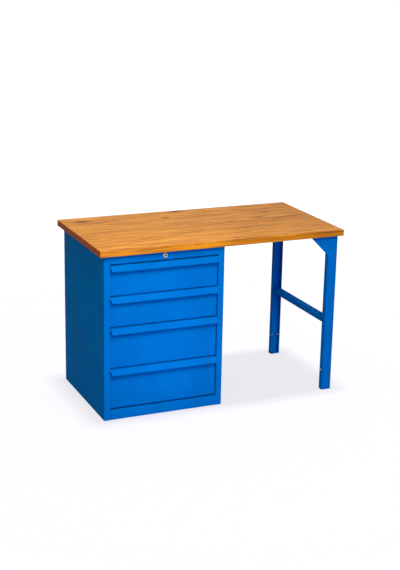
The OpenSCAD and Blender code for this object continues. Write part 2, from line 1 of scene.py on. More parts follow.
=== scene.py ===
import json
import math
import bmesh
import bpy
import numpy as np
from mathutils import Matrix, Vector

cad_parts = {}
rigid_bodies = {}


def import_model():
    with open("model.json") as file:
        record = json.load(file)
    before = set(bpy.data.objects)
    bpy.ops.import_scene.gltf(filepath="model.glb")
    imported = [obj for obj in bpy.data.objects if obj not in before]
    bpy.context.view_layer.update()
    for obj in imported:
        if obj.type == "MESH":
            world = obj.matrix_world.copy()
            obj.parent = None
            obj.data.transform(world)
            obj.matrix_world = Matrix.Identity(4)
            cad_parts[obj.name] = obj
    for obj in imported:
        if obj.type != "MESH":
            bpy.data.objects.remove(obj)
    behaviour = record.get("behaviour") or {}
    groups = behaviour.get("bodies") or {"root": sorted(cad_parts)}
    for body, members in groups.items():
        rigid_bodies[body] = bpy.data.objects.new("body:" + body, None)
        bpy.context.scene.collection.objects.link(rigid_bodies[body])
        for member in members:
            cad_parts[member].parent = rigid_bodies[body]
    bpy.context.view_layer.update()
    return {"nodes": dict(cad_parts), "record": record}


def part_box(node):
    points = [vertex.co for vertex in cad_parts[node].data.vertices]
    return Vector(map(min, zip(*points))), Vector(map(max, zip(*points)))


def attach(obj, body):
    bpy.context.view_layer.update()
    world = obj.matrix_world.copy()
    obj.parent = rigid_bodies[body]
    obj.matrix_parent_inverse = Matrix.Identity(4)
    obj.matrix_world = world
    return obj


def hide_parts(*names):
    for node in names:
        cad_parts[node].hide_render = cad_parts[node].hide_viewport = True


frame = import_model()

mm = 0.001
print("frame loaded:", len(frame["nodes"]), "nodes")

# The camera stands in front of the bench's left end and looks along it to the right. The place
# is in metres, the angles in degrees, the lens and the sensor's width in mm.
viewFrom = dict(place=(-2.3413, -5.3340, 2.2440), heading=23.774, down=16.469, roll=1.127,
                lens=77.2, sensor=36)


def placeCamera(v):
    # d points along the view, r to its right and u = r x d up; r and u are then rolled about d
    yaw, pitch, roll = (math.radians(v[k]) for k in ("heading", "down", "roll"))
    d = np.array([math.sin(yaw) * math.cos(pitch), math.cos(yaw) * math.cos(pitch), -math.sin(pitch)])
    r = np.array([math.cos(yaw), -math.sin(yaw), 0.0])
    u = np.cross(r, d)
    right = r * math.cos(roll) + u * math.sin(roll)
    up = u * math.cos(roll) - r * math.sin(roll)
    camera = bpy.data.objects.new("camera", bpy.data.cameras.new("camera"))
    bpy.context.collection.objects.link(camera)
    camera.data.lens = v["lens"]
    camera.data.sensor_width = v["sensor"]
    columns = [right, up, -d, v["place"]]
    rows = [[float(c[i]) for c in columns] for i in range(3)]
    camera.matrix_world = Matrix(rows + [[0, 0, 0, 1]])
    bpy.context.scene.camera = camera


placeCamera(viewFrom)
print("camera placed")


def linear(hexColour):
    # sRGB to linear light: ((c + 0.055) / 1.055) to the power 2.4, or c / 12.92 in the darkest part
    c = np.array([int(hexColour[i:i + 2], 16) / 255 for i in (1, 3, 5)])
    light = np.where(c <= 0.04045, c / 12.92, ((c + 0.055) / 1.055) ** 2.4)
    return (*light.tolist(), 1.0)


def add(tree, kind, settings=None, inputs=None):
    # One node: settings are its properties; an input is a value, or another node's socket to link
    made = tree.nodes.new("ShaderNode" + kind)
    for key, value in (settings or {}).items():
        setattr(made, key, value)
    for key, value in (inputs or {}).items():
        if isinstance(value, bpy.types.NodeSocket):
            tree.links.new(value, made.inputs[key])
        else:
            made.inputs[key].default_value = value
    return made


def newMaterial(name):
    # An empty material and its node tree
    material = bpy.data.materials.new(name)
    material.use_nodes = True
    material.node_tree.nodes.clear()
    return material, material.node_tree


def finishMaterial(tree, inputs):
    # The one shader of a material, with its inputs, led to the output
    shader = add(tree, "BsdfPrincipled", None, inputs)
    add(tree, "OutputMaterial", None, {"Surface": shader.outputs[0]})


def between(tree, value, low, high, start=0.0, end=1.0):
    # start + (value - low) / (high - low) * (end - start), held between start and end
    made = add(tree, "MapRange", None, {"Value": value, 1: low, 2: high, 3: start, 4: end})
    return made.outputs[0]


def blend(tree, share, first, second, way="MIX"):
    # (1 - share) * first + share * second; with MULTIPLY, second becomes first * second. A colour
    # is a socket, a hex value or linear red, green and blue
    ends = [linear(c) if isinstance(c, str) else (*c, 1.0) if isinstance(c, tuple) else c
            for c in (first, second)]
    made = add(tree, "Mix", {"data_type": "RGBA", "blend_type": way},
               {"Factor": share, 6: ends[0], 7: ends[1]})
    return made.outputs[2]


# Polyester powder coat, sprayed dry and baked on sheet steel. It shows an even, deep colour and a
# fine orange peel, whose dimples are about 3 mm across on the real coat and drawn at 5 mm so that
# they show. The real coat's satin gloss is turned almost off, because the white room greyed it.
blueCoat = dict(deep="#0063bb", fresh="#0069c4", patch=180, peel=5.0, peelDepth=0.05, peelShow=0.25,
                rough=0.45, gloss=0.002)


def powderCoat(name, c):
    # Colour and roughness follow a wide noise, the bumps a fine one
    material, tree = newMaterial(name)
    place = add(tree, "TexCoord").outputs["Object"]
    wide = {"Vector": place, "Scale": 1 / (c["patch"] * mm), "Detail": 3.0}
    cloud = add(tree, "TexNoise", None, wide).outputs[0]
    colour = blend(tree, between(tree, cloud, 0.35, 0.65), c["deep"], c["fresh"])
    fine = {"Vector": place, "Scale": 1 / (c["peel"] * mm), "Detail": 2.0}
    peel = add(tree, "TexNoise", None, fine).outputs[0]
    rough = between(tree, cloud, 0.3, 0.7, c["rough"] - 0.04, c["rough"] + 0.05)
    bump = add(tree, "Bump", None,
               {"Strength": c["peelShow"], "Distance": c["peelDepth"] * mm, "Height": peel})
    finishMaterial(tree, {"Base Color": colour, "Roughness": rough, "Normal": bump.outputs[0],
                          "IOR": 1.5, "Specular IOR Level": c["gloss"]})
    return material


# Bright zinc plate over steel, blue passivated: a cool grey metal, slightly cloudy, satin.
brightZinc = dict(dark="#9faabb", light="#cbd9ee", patch=9, rough=0.42)
# Hot-dipped galvanised strip: larger frosty crystals, duller.
galvanised = dict(dark="#8f9498", light="#b9bec2", patch=14, rough=0.46)


def platedSteel(name, c):
    # Half of the tone is one value per crystal, half a noise 3.3 times as wide
    material, tree = newMaterial(name)
    place = add(tree, "TexCoord").outputs["Object"]
    scale = 1 / (c["patch"] * mm)
    crystal = add(tree, "TexVoronoi", None, {"Vector": place, "Scale": scale})
    shade = add(tree, "SeparateColor", None, {0: crystal.outputs["Color"]})
    cloud = add(tree, "TexNoise", None, {"Vector": place, "Scale": 0.3 * scale, "Detail": 4.0})
    both = add(tree, "Mix", {"data_type": "FLOAT"},
               {0: 0.5, 2: shade.outputs[0], 3: cloud.outputs[0]}).outputs[0]
    finishMaterial(tree, {"Base Color": blend(tree, both, c["dark"], c["light"]), "Metallic": 1.0,
                          "Roughness": between(tree, both, 0.2, 0.8, c["rough"] - 0.06, c["rough"] + 0.08)})
    return material


# Nickel-plated die casting, barrel polished: a warm, fairly sharp metal with fine scuffs. Round
# the key slot the plug's brass shows, painted darker so that it also carries the slot's shade.
nickel = dict(dark="#b3a992", light="#e2d9c6", brassAndSlotShade="#7a4a20", scuff=1.6, rough=0.36, shadedBrass=4.2,
              shadedBrassEdge=1.2)


def nickelPlate(name, c, centre):
    # Brass with painted slot shade where the distance from the lock's axis, along Y, is under its radius
    material, tree = newMaterial(name)
    place = add(tree, "TexCoord").outputs["Object"]
    fine = {"Vector": place, "Scale": 1 / (c["scuff"] * mm), "Detail": 5.0}
    scuff = add(tree, "TexNoise", None, fine).outputs[0]
    flat = add(tree, "VectorMath", {"operation": "MULTIPLY_ADD"},
               {0: place, 1: (1, 0, 1), 2: (-centre[0], 0, -centre[2])})
    away = add(tree, "VectorMath", {"operation": "LENGTH"}, {0: flat.outputs[0]}).outputs["Value"]
    # painted shade: the brass disc is darker than brass, standing for the shade inside the key slot
    shadedBrass = between(tree, away, c["shadedBrass"] * mm, (c["shadedBrass"] + c["shadedBrassEdge"]) * mm, 1.0, 0.0)
    plate = blend(tree, scuff, c["dark"], c["light"])
    finishMaterial(tree, {"Base Color": blend(tree, shadedBrass, plate, c["brassAndSlotShade"]), "Metallic": 1.0,
                          "Roughness": between(tree, scuff, 0.3, 0.7, c["rough"] - 0.05, c["rough"] + 0.1)})
    return material


# Solid softwood board glued from staves that run along the bench, planed, stained honey
# brown and oiled. It shows growth rings as long streaks, fine dark pores drawn out along the
# grain, a few knots and bright orange long edges, and its cut ends are painted darker as a
# painted shade. The pores are 0.5 mm wide on the real board and drawn at 4.5 mm so that they show.
board = dict(
    early="#da963c", late="#7a4209", knot="#4a1c0a", fleck="#8f4711", end="#cc8630", edge="#ffeb45",
    staveWidth=93, ringWidth=6.5, wave=(770, 110), waveSize=35, pore=(210, 4.5), band=(300, 13),
    mottle=(120, 13), poreDepth=0.15, poreShow=0.3, rough=0.5, gloss=0.22,
    streakShare=0.38, poreShare=0.52, bandShare=0.46, staveShare=0.12, fleckShare=0.8,
    knots=[(-525, 239, 15), (-10, 296, 13), (-104, 188, 9), (349, 53, 10), (430, 150, 8)],
    knotStretch=2.2, knotPush=16, pithAside=70, pithBelow=30, pithSpread=90)


def woodBoard(name, c, middle, faceY):
    # Tone = ring streaks + pores + wide bands + the stave's own shade; middle is the board's
    # middle height and faceY its front edge. Knots are (x, y, radius) in mm, and the noises'
    # sizes are (along the board, across it) in mm
    material, tree = newMaterial(name)

    def calc(operation, a, b=0.0, c2=0.0):
        return add(tree, "Math", {"operation": operation}, {0: a, 1: b, 2: c2}).outputs[0]

    def drawnOut(grain, detail=2.0):
        # noise whose grains are so long along the board and so wide across it
        along, across = 1 / (grain[0] * mm), 1 / (grain[1] * mm)
        stretched = add(tree, "Mapping", None, {"Vector": place, "Scale": (along, across, across)})
        made = add(tree, "TexNoise", None,
                   {"Vector": stretched.outputs[0], "Scale": 1.0, "Detail": detail})
        return made.outputs[0]

    place = add(tree, "TexCoord").outputs["Object"]
    axes = add(tree, "SeparateXYZ", None, {0: place}).outputs
    x, y, z = axes[0], axes[1], axes[2]
    stave = calc("FLOOR", calc("DIVIDE", calc("SUBTRACT", y, faceY), c["staveWidth"] * mm))
    own = add(tree, "TexWhiteNoise", {"noise_dimensions": "1D"}, {"W": stave})
    ownParts = add(tree, "SeparateColor", None, {0: own.outputs["Color"]}).outputs
    # ring radius = distance from this stave's pith, which runs along X below the board
    aside = calc("MULTIPLY_ADD", ownParts[0], c["pithAside"] * mm, faceY)
    pithY = calc("MULTIPLY_ADD", stave, c["staveWidth"] * mm, aside)
    pithZ = calc("MULTIPLY_ADD", ownParts[1], -c["pithSpread"] * mm, middle - c["pithBelow"] * mm)
    dy = calc("SUBTRACT", y, pithY)
    dz = calc("SUBTRACT", z, pithZ)
    radius = calc("SQRT", calc("ADD", calc("MULTIPLY", dy, dy), calc("MULTIPLY", dz, dz)))
    radius = calc("MULTIPLY_ADD", drawnOut(c["wave"], 3.0), c["waveSize"] * mm, radius)
    # each knot pushes the rings outwards by a bell curve of its distance, exp(-0.55 d^2), and
    # darkens its middle by a narrower one
    dark = 0.0
    for kx, ky, size in c["knots"]:
        ax = calc("DIVIDE", calc("SUBTRACT", x, kx * mm), size * c["knotStretch"] * mm)
        ay = calc("DIVIDE", calc("SUBTRACT", y, ky * mm), size * mm)
        square = calc("ADD", calc("MULTIPLY", ax, ax), calc("MULTIPLY", ay, ay))
        push = calc("EXPONENT", calc("MULTIPLY", square, -0.55))
        radius = calc("MULTIPLY_ADD", push, c["knotPush"] * mm, radius)
        dark = calc("MAXIMUM", dark, calc("EXPONENT", calc("MULTIPLY", square, -0.8)))
    ring = calc("FRACT", calc("DIVIDE", radius, c["ringWidth"] * mm))
    # late wood darkens slowly and stops sharply
    fall = calc("SUBTRACT", 1.0, calc("POWER", ring, 14.0))
    streak = calc("MULTIPLY", calc("POWER", ring, 1.6), fall)
    pores = drawnOut(c["pore"])
    threads = between(tree, pores, 0.36, 0.64, -0.5, 0.5)
    bands = between(tree, drawnOut(c["band"]), 0.36, 0.64, -0.5, 0.5)
    tone = calc("MULTIPLY_ADD", ownParts[2], c["staveShare"], 0.16)
    tone = calc("MULTIPLY_ADD", bands, c["bandShare"], tone)
    tone = calc("MULTIPLY_ADD", threads, c["poreShare"], tone)
    tone = calc("MULTIPLY_ADD", streak, c["streakShare"], tone)
    colour = blend(tree, tone, c["early"], c["late"])
    # short red-brown flecks stand where a third noise peaks
    flecks = between(tree, drawnOut(c["mottle"]), 0.62, 0.70, 0.0, c["fleckShare"])
    colour = blend(tree, flecks, colour, c["fleck"])
    colour = blend(tree, calc("MULTIPLY", dark, 0.95), colour, c["knot"])
    # the long edges are more orange; the cut ends are painted darker and browner, a painted shade
    normal = add(tree, "SeparateXYZ", None, {0: add(tree, "TexCoord").outputs["Normal"]}).outputs
    colour = blend(tree, calc("ABSOLUTE", normal[1]), colour, c["edge"], "MULTIPLY")
    colour = blend(tree, calc("ABSOLUTE", normal[0]), colour, c["end"], "MULTIPLY")
    bump = add(tree, "Bump", None,
               {"Strength": c["poreShow"], "Distance": c["poreDepth"] * mm, "Height": pores})
    rough = between(tree, pores, 0.3, 0.7, c["rough"] - 0.06, c["rough"] + 0.1)
    finishMaterial(tree, {"Base Color": colour, "Roughness": rough, "Normal": bump.outputs[0],
                          "IOR": 1.5, "Specular IOR Level": c["gloss"]})
    return material


topLow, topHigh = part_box("worktop")
lockCentre = [(a + b) / 2 for a, b in zip(*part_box("lock_housing"))]
finish = {
    "blue_powder_coat": powderCoat("blue polyester powder coat", blueCoat),
    "bright_zinc": platedSteel("bright zinc plate", brightZinc),
    "slide_steel": platedSteel("galvanised strip", galvanised),
    "lock_nickel": nickelPlate("nickel plate", nickel, lockCentre),
    "worktop_wood": woodBoard("oiled softwood board", board, (topLow[2] + topHigh[2]) / 2, topLow[1]),
}
slotOf = {part["node"]: part["material_slot"] for part in frame["record"]["subparts"]}
bodies = frame["record"]["behaviour"]["bodies"]
bodyOf = {node: body for body, nodes in bodies.items() for node in nodes}
print("materials made")


def bentPath(corners, radius, steps=5):
    # Straight runs joined by arcs: an arc starts radius * tan(half the turn) before its corner
    # and its centre lies radius to the side that the path turns to
    corners = np.array(corners, float)
    out = [corners[0]]
    for before, here, after in zip(corners[:-2], corners[1:-1], corners[2:]):
        a = (here - before) / np.linalg.norm(here - before)
        b = (after - here) / np.linalg.norm(after - here)
        turn = math.atan2(a[0] * b[1] - a[1] * b[0], a @ b)
        side = np.sign(turn)
        start = here - a * radius * math.tan(abs(turn) / 2)
        centre = start + np.array([-a[1], a[0]]) * radius * side
        angle = np.linspace(0, turn, steps + 1)[:, None]
        arm = start - centre
        out.append(centre + arm * np.cos(angle) + np.array([-arm[1], arm[0]]) * np.sin(angle))
    out.append(corners[-1])
    return np.vstack(out)


def sheetSection(path, thick):
    # Outline of a sheet along a path: path + n * t / 2 going out, path - n * t / 2 coming back
    step = np.gradient(path, axis=0)
    run = np.diff(path, axis=0)
    run /= np.linalg.norm(run, axis=1)[:, None]
    step[1:-1] = run[:-1] + run[1:]
    step[0], step[-1] = run[0], run[-1]
    step /= np.linalg.norm(step, axis=1)[:, None]
    n = np.column_stack([-step[:, 1], step[:, 0]]) * thick / 2
    return np.vstack([path + n, (path - n)[::-1]])


def orient(a, b, along, axis):
    # Puts a section's two coordinates and its place along the axis into X, Y, Z order
    a, b, along = np.broadcast_arrays(a, b, along)
    order = {"x": (along, a, b), "y": (a, along, b), "z": (a, b, along)}[axis]
    return np.stack(order, axis=-1)


def ringFaces(rows, cols):
    # Quads of a grid that is closed round its columns
    i = np.arange(rows - 1)[:, None] * cols
    j = np.arange(cols)[None, :]
    k = (j + 1) % cols
    return np.stack([i + j, i + k, i + cols + k, i + cols + j], -1).reshape(-1, 4)


def carrySheet(grid):
    # grid[k, s] is the sheet's outline at station k; both ends are closed by strips from the
    # outline's outgoing side to its returning side
    rows, cols = grid.shape[:2]
    j = np.arange(cols // 2 - 1)
    strip = np.stack([j, j + 1, cols - 2 - j, cols - 1 - j], -1)
    faces = np.vstack([ringFaces(rows, cols), strip, strip + (rows - 1) * cols])
    return grid.reshape(-1, 3), faces.tolist()


def foldedSheet(corners, thick, bend, ends, axis):
    # A straight folded sheet between two ends; bend is the radius of the sheet's middle line
    section = sheetSection(bentPath(corners, bend), thick)
    across, up = section[None, :, 0], section[None, :, 1]
    return carrySheet(orient(across, up, np.array(ends)[:, None], axis))


def joinEnds(rows, cols):
    # Quads from the last loop of a grid back to its first
    j = np.arange(cols)
    k = (j + 1) % cols
    last = (rows - 1) * cols
    return np.stack([last + j, last + k, k, j], -1).tolist()


def roundedLoop(low, high, corner, profile, axis, closed=False, steps=5):
    # A rounded rectangle carried through a profile of (inset, height): at inset d the loop is
    # the rectangle drawn in by d with corners of radius corner - d, never quite sharp. A closed
    # one is a ring whose profile comes back to its start; the others get a lid at each end
    low, high = np.array(low, float), np.array(high, float)
    profile = np.array(profile, float)
    inset, height = profile[:, 0], profile[:, 1]
    radius = np.maximum(corner - inset, 0.15 * mm)
    turn = np.linspace(0, math.pi / 2, steps + 1)
    angle = np.concatenate([turn + q * math.pi / 2 for q in range(4)])
    signs = np.repeat(np.array([(1, 1), (-1, 1), (-1, -1), (1, -1)]), steps + 1, axis=0)
    centre = (low + high) / 2
    reach = (high - low) / 2 - (inset + radius)[:, None]
    a = centre[0] + signs[:, 0] * reach[:, :1] + radius[:, None] * np.cos(angle)
    b = centre[1] + signs[:, 1] * reach[:, 1:] + radius[:, None] * np.sin(angle)
    grid = orient(a, b, height[:, None], axis)
    rows, cols = grid.shape[:2]
    faces = ringFaces(rows, cols).tolist()
    lids = [list(range(cols)), list(range((rows - 1) * cols, rows * cols))]
    faces += joinEnds(rows, cols) if closed else lids
    return grid.reshape(-1, 3), faces


def arc(centre, radius, start, end, steps=5):
    # Points on a circle from one angle to another, in degrees
    angle = np.radians(np.linspace(start, end, steps + 1))
    return np.column_stack([centre[0] + radius * np.cos(angle), centre[1] + radius * np.sin(angle)])


def lathe(profile, centre, axis, sides, flats=None, closed=False):
    # Surface of revolution of (radius, height). With flats, the radius is cut off at a hexagon,
    # flats / 2 / cos of the angle from the nearest flat's middle. A closed one is a ring; the
    # others start and end on the axis
    profile = np.array(profile, float)
    angle = np.arange(sides) * 2 * math.pi / sides
    r = np.repeat(profile[:, :1], sides, axis=1)
    if flats:
        toFlat = (angle + math.pi / 6) % (math.pi / 3) - math.pi / 6
        r = np.minimum(r, flats / 2 / np.cos(toFlat))
    centre = np.array(centre, float)
    which = {"x": (1, 2, 0), "y": (0, 2, 1), "z": (0, 1, 2)}[axis]
    grid = orient(centre[which[0]] + r * np.cos(angle), centre[which[1]] + r * np.sin(angle),
                  centre[which[2]] + profile[:, 1:], axis)
    rows, cols = grid.shape[:2]
    faces = ringFaces(rows, cols).tolist() + (joinEnds(rows, cols) if closed else [])
    return grid.reshape(-1, 3), faces


def mirrored(part, middle):
    # x becomes 2 * middle - x; buildMesh turns the faces outwards again
    points = part[0].copy()
    points[:, 0] = 2 * middle - points[:, 0]
    return points, part[1]


crease = math.radians(32)  # edges that turn more than this stay sharp in the shading


def buildMesh(name, parts):
    # Joins the parts, merges doubled points (a lathe's poles), turns faces outwards and keeps
    # sharp edges
    points, faces, start = [], [], 0
    for p, f in parts:
        points.append(p)
        faces += [[v + start for v in face] for face in f]
        start += len(p)
    mesh = bpy.data.meshes.new(name)
    mesh.from_pydata(np.vstack(points).tolist(), [], faces)
    work = bmesh.new()
    work.from_mesh(mesh)
    bmesh.ops.remove_doubles(work, verts=work.verts, dist=1e-6)
    bmesh.ops.dissolve_degenerate(work, edges=work.edges, dist=1e-7)
    bmesh.ops.recalc_face_normals(work, faces=work.faces)
    work.to_mesh(mesh)
    work.free()
    mesh.shade_smooth()
    mesh.set_sharp_from_angle(angle=crease)
    return mesh


def show(name, mesh, node):
    # Puts a mesh in the scene in place of a CAD node, on its body and in its finish
    made = bpy.data.objects.new(name, mesh)
    bpy.context.collection.objects.link(made)
    made.data.materials.clear()
    made.data.materials.append(finish[slotOf[node]])
    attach(made, bodyOf[node])
    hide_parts(node)
    return made


def piece(name, parts, node):
    # A new visible piece made of closed parts
    return show(name, buildMesh(name, parts), node)


def cut(made, cutters):
    # Takes cutters out of a piece and keeps the result as its mesh
    tool = bpy.data.objects.new("cutter", buildMesh("cutter", cutters))
    bpy.context.collection.objects.link(tool)
    step = made.modifiers.new("cut", "BOOLEAN")
    step.operation = "DIFFERENCE"
    step.solver = "EXACT"
    step.object = tool
    bpy.context.view_layer.update()
    solid = made.evaluated_get(bpy.context.evaluated_depsgraph_get())
    mesh = bpy.data.meshes.new_from_object(solid)
    made.modifiers.clear()
    made.data = mesh
    mesh.set_sharp_from_angle(angle=crease)
    bpy.data.objects.remove(tool)


# Sizes of the pieces are in mm; places come from the CAD nodes' own boxes.
worktop = dict(ease=1.2, corner=1.2)


def makeWorktop(w):
    # Board outline with a quarter round on every long and short edge
    low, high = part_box("worktop")
    r = w["ease"] * mm
    profile = np.vstack([arc((r, low[2] + r), r, 270, 180), arc((r, high[2] - r), r, 180, 90)])
    part = roundedLoop(low[:2], high[:2], w["corner"] * mm, profile, "z")
    piece("worktop_board", [part], "worktop")


makeWorktop(worktop)
print("worktop made")


shell = dict(sheet=1.5, bend=2.0, sideBend=1.1, stileFold=18, plinthFold=18, fasciaFold=15,
             backFlange=20, flangeShort=42, backEase=0.35, backCorner=2.0, lockHole=9.2, uprightBend=1.6)


def makeSidePanels(s):
    # Plan of the left side: stile fold, stile, wall, back flange; the right side is its mirror
    t, bend = s["sheet"] * mm, s["sideBend"] * mm
    low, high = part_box("left_side_panel")
    backLow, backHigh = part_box("back_panel")
    middle = (backLow[0] + backHigh[0]) / 2
    x, y, h = low[0], low[1], t / 2
    stile, back = high[0], high[1]
    corners = [(stile - h, y + s["stileFold"] * mm), (stile - h, y + h), (x + h, y + h),
               (x + h, back - h), (x + s["backFlange"] * mm, back - h)]
    wall = foldedSheet(corners, t, bend, (low[2], high[2]), "z")
    # the flange that carries the worktop
    ends = (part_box("front_uprights")[0][1], back - s["flangeShort"] * mm)
    corners = [(x + t, high[2] - h), (x + s["backFlange"] * mm, high[2] - h)]
    flange = foldedSheet(corners, t, bend, ends, "y")
    piece("side_panel_left", [wall, flange], "left_side_panel")
    piece("side_panel_right", [mirrored(wall, middle), mirrored(flange, middle)], "right_side_panel")


def makeBackPanel(s):
    # Flat sheet with rounded corners and a quarter round on every edge
    low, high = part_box("back_panel")
    e = s["backEase"] * mm
    profile = np.vstack([arc((e, low[1] + e), e, 270, 180, 3), arc((e, high[1] - e), e, 180, 90, 3)])
    part = roundedLoop((low[0], low[2]), (high[0], high[2]), s["backCorner"] * mm, profile, "y")
    piece("cabinet_back", [part], "back_panel")


def makePlinth(s):
    # Section from the side: fold at the foot, face, fold at the top
    t, bend = s["sheet"] * mm, s["bend"] * mm
    low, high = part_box("plinth")
    y, h = low[1], t / 2
    corners = [(y + s["plinthFold"] * mm, low[2] + h), (y + h, low[2] + h),
               (y + h, high[2] - h), (high[1], high[2] - h)]
    piece("plinth_sheet", [foldedSheet(corners, t, bend, (low[0], high[0]), "x")], "plinth")


def makeFascia(s):
    # Section like the plinth's, with a round hole for the lock
    t, bend = s["sheet"] * mm, s["bend"] * mm
    low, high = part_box("fascia")
    y, h = low[1], t / 2
    corners = [(y + s["fasciaFold"] * mm, low[2] + h), (y + h, low[2] + h),
               (y + h, high[2] - h), (high[1], high[2] - h)]
    made = piece("fascia_sheet", [foldedSheet(corners, t, bend, (low[0], high[0]), "x")], "fascia")
    r, through = s["lockHole"] * mm, 10 * mm
    hole = [(0, -through), (r, -through), (r, through), (0, through)]
    cut(made, [lathe(hole, (lockCentre[0], y, lockCentre[2]), "y", 48)])


def makeFloorAndRail(s):
    # The floor's two edges are folded down; the rear rail is a channel open to the front
    t, bend = s["sheet"] * mm, s["bend"] * mm
    low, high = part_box("cabinet_floor")
    h = t / 2
    corners = [(low[0] + h, low[2]), (low[0] + h, high[2] - h), (high[0] - h, high[2] - h),
               (high[0] - h, low[2])]
    piece("floor_sheet", [foldedSheet(corners, t, bend, (low[1], high[1]), "y")], "cabinet_floor")
    low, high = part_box("rear_rail")
    corners = [(low[1], low[2] + h), (high[1] - h, low[2] + h), (high[1] - h, high[2] - h),
               (low[1], high[2] - h)]
    piece("rear_rail_sheet", [foldedSheet(corners, t, bend, (low[0], high[0]), "x")], "rear_rail")


def makeUprights(s):
    # Plan: a channel against each side wall, open towards it
    t, bend = s["sheet"] * mm, s["uprightBend"] * mm
    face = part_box("fixed_slides")[0][0]
    for node in ("front_uprights", "rear_uprights"):
        low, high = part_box(node)
        middle, h = (low[0] + high[0]) / 2, t / 2
        corners = [(low[0], low[1] + h), (face - h, low[1] + h), (face - h, high[1] - h),
                   (low[0], high[1] - h)]
        left = foldedSheet(corners, t, bend, (low[2], high[2]), "z")
        piece(node + "_channels", [left, mirrored(left, middle)], node)


makeSidePanels(shell)
makeBackPanel(shell)
makePlinth(shell)
makeFascia(shell)
makeFloorAndRail(shell)
makeUprights(shell)
print("cabinet shell made")


drawer = dict(count=4, sheet=1.5, bend=2.0, lip=10, corner=3.0,
              gripCurl=4.0, curlEnd=342, gripBend=5.0, gripShelf=0.4, gripCorner=18,
              traySheet=1.0, trayBend=2.0, trayCorner=2.2, rim=8, rimHem=5)
drawerNumbers = range(1, drawer["count"] + 1)


def makeFront(n, d):
    # Pan pressed from one sheet: face, folded edges and a lip turned in behind
    node = f"drawer_{n}_front"
    low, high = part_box(node)
    t, r = d["sheet"] * mm, d["bend"] * mm
    lip, q, deep = d["lip"] * mm, r - t, high[1] - low[1]
    profile = np.vstack([arc((r, r), r, 270, 180), arc((r, deep - r), r, 180, 90), [(lip, deep)],
                         [(lip, deep - t)], arc((r, deep - r), q, 90, 180), arc((r, r), q, 180, 270)])
    profile[:, 1] += low[1]
    part = roundedLoop((low[0], low[2]), (high[0], high[2]), d["corner"] * mm, profile, "y")
    piece(f"drawer_{n}_panel", [part], node)


def makeGrip(n, d):
    # Section: flange over the front's edge, bend, leaning face, curl. The face's two lower
    # corners are cut to a radius: at height h over the foot the end draws in by
    # r - sqrt(r^2 - (r - h)^2)
    node = f"drawer_{n}_grip"
    low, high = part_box(node)
    t, curl = d["sheet"] * mm, d["gripCurl"] * mm
    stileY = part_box("plinth")[0][1]
    top = high[2] - t / 2
    lean = math.degrees(math.atan2(stileY - low[1], high[2] - low[2] - curl))
    curlPath = arc((low[1] + curl, low[2] + curl), curl - t / 2, 180 - lean, d["curlEnd"], 16)
    corners = [(high[1], top), (stileY + d["gripShelf"] * mm, top), curlPath[0]]
    path = bentPath(corners, d["gripBend"] * mm)
    # the straight face gets points of its own, so that the rounded ends follow it
    face = np.linspace(path[-2], path[-1], 12)[1:-1]
    path = np.vstack([path[:-1], face, path[-1:]])
    section = sheetSection(np.vstack([path[:-1], curlPath]), t)
    r = d["gripCorner"] * mm
    over = np.clip(section[:, 1] - low[2], 0, r)
    draw = r - np.sqrt(np.maximum(r * r - (r - over) ** 2, 0))
    along = np.stack([low[0] + draw, high[0] - draw])
    grid = orient(section[None, :, 0], section[None, :, 1], along, "x")
    piece(f"drawer_{n}_pull_lip", [carrySheet(grid)], node)


def makeTray(n, d):
    # Box folded from thin sheet: floor, walls, and a rim rolled in with a small hem
    node = f"drawer_{n}_tray"
    low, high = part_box(node)
    t, r, rim, hem = (d[key] * mm for key in ("traySheet", "trayBend", "rim", "rimHem"))
    z0, z1, q = low[2], high[2], r - t
    profile = np.vstack([
        arc((r, z0 + r), r, 270, 180), arc((r, z1 - r), r, 180, 90), arc((rim - r, z1 - r), r, 90, 0),
        [(rim, z1 - hem), (rim - t, z1 - hem)], arc((rim - r, z1 - r), q, 0, 90),
        arc((r, z1 - r), q, 90, 180), arc((r, z0 + r), q, 180, 270)])
    part = roundedLoop(low[:2], high[:2], d["trayCorner"] * mm, profile, "z")
    piece(f"drawer_{n}_box", [part], node)


for number in drawerNumbers:
    makeFront(number, drawer)
    makeGrip(number, drawer)
    makeTray(number, drawer)
print("drawers made")


slide = dict(steel=1.2, play=0.3, lipShare=0.1, neckShare=0.3, shelf=3, railBend=1.4, hatBend=1.2)


def slideParts(n, s, kind):
    # Left member and its mirror image; u runs from the upright's face towards the tray. The
    # fixed and the middle member are channels with lips, the inner one a flat with a hat on it
    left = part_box("fixed_slides")[0][0]
    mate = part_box(f"drawer_{n}_mid_slide")
    low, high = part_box(f"drawer_{n}_slide")
    t, play = s["steel"] * mm, s["play"] * mm
    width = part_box(f"drawer_{n}_tray")[0][0] - left
    z = (mate[0][2] + mate[1][2]) / 2
    half = (mate[1][2] - mate[0][2]) / 2 + t + play
    lip = 2 * half * s["lipShare"]
    h = t / 2
    if kind == "inner":
        u0, top, neck = 2 * (t + play), half - 2 * (t + play), 2 * half * s["neckShare"]
        face = [(u0 + h, -top), (u0 + h, top)]
        hat = [(u0 + t, -neck), (width - h, -neck), (width - h, neck), (u0 + t, neck)]
        paths = [(face, s["hatBend"]), (hat, s["hatBend"])]
    else:
        u0 = 0.0 if kind == "fixed" else t + play
        top = half - u0
        u1 = width - s["shelf"] * mm - u0
        rail = [(u1 - h, lip - half), (u1 - h, h - top), (u0 + h, h - top), (u0 + h, top - h),
                (u1 - h, top - h), (u1 - h, half - lip)]
        paths = [(rail, s["railBend"])]
    middle = (low[0] + high[0]) / 2
    parts = []
    for corners, bend in paths:
        moved = [(left + u, z + w) for u, w in corners]
        one = foldedSheet(moved, t, bend * mm, (low[1], high[1]), "y")
        parts += [one, mirrored(one, middle)]
    return parts


fixedParts = [part for n in drawerNumbers for part in slideParts(n, slide, "fixed")]
piece("fixed_slide_members", fixedParts, "fixed_slides")
for number in drawerNumbers:
    for name, kind, node in (("mid", "mid", "mid_slide"), ("tray", "inner", "slide")):
        piece(f"drawer_{number}_{name}_members", slideParts(number, slide, kind), f"drawer_{number}_{node}")
print("slides made")


